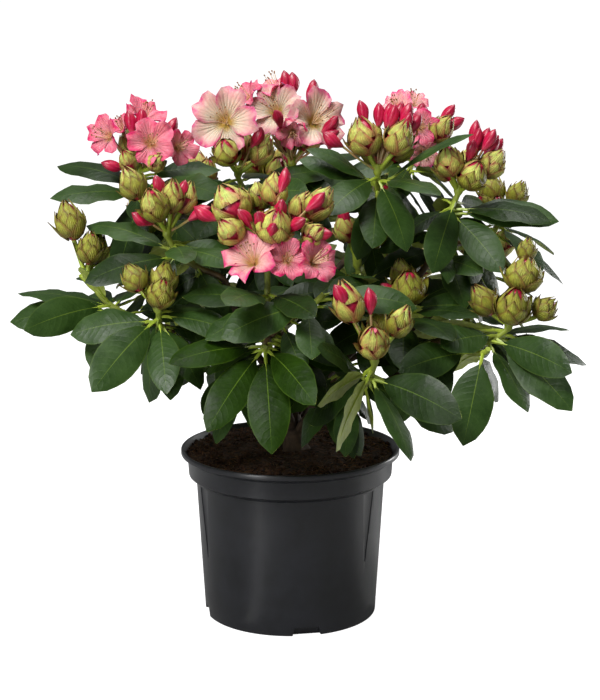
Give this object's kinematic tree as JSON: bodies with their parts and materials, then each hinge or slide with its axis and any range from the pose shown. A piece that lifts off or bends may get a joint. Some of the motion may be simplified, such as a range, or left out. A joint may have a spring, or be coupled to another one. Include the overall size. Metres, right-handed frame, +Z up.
{
  "type": "potted rhododendron shrub",
  "caption": "Large-leaved rhododendron in bud and bloom with cream and pink flowers, in a round black nursery pot.",
  "frame": {"origin": "centre of the pot's flat underside", "axes": "+Z up along the pot's axis, -Y towards the shrub's fullest face, +X to the right of someone who looks at that face"},
  "size_m": [0.5884, 0.5246, 0.5686],
  "materials": {
    "pot_black": "satin black",
    "peat": "loose and fibrous",
    "bark": "rough",
    "foliage": "leathery leaf"
  },
  "bodies": {
    "root": {"bough_back": "bark", "bough_back_far_left": "bark", "bough_back_far_right": "bark", "bough_back_left": "bark", "bough_back_right": "bark", "bough_centre": "bark", "bough_front": "bark", "bough_front_right": "bark", "bough_left_inner": "bark", "bough_left_low": "bark", "bough_left_mid": "bark", "bough_low": "bark", "bough_mid_right": "bark", "bough_right": "bark", "bough_right_low": "bark", "bough_upper_left": "bark", "bough_upper_right": "bark", "mass_back": "foliage", "mass_back_far_left": "foliage", "mass_back_far_right": "foliage", "mass_back_left": "foliage", "mass_back_right": "foliage", "mass_centre": "foliage", "mass_front": "foliage", "mass_front_right": "foliage", "mass_left_inner": "foliage", "mass_left_low": "foliage", "mass_left_mid": "foliage", "mass_low": "foliage", "mass_mid_right": "foliage", "mass_right": "foliage", "mass_right_low": "foliage", "mass_upper_left": "foliage", "mass_upper_right": "foliage", "pot": "pot_black", "soil": "peat", "trunk": "bark"}
  },
  "joints": []
}
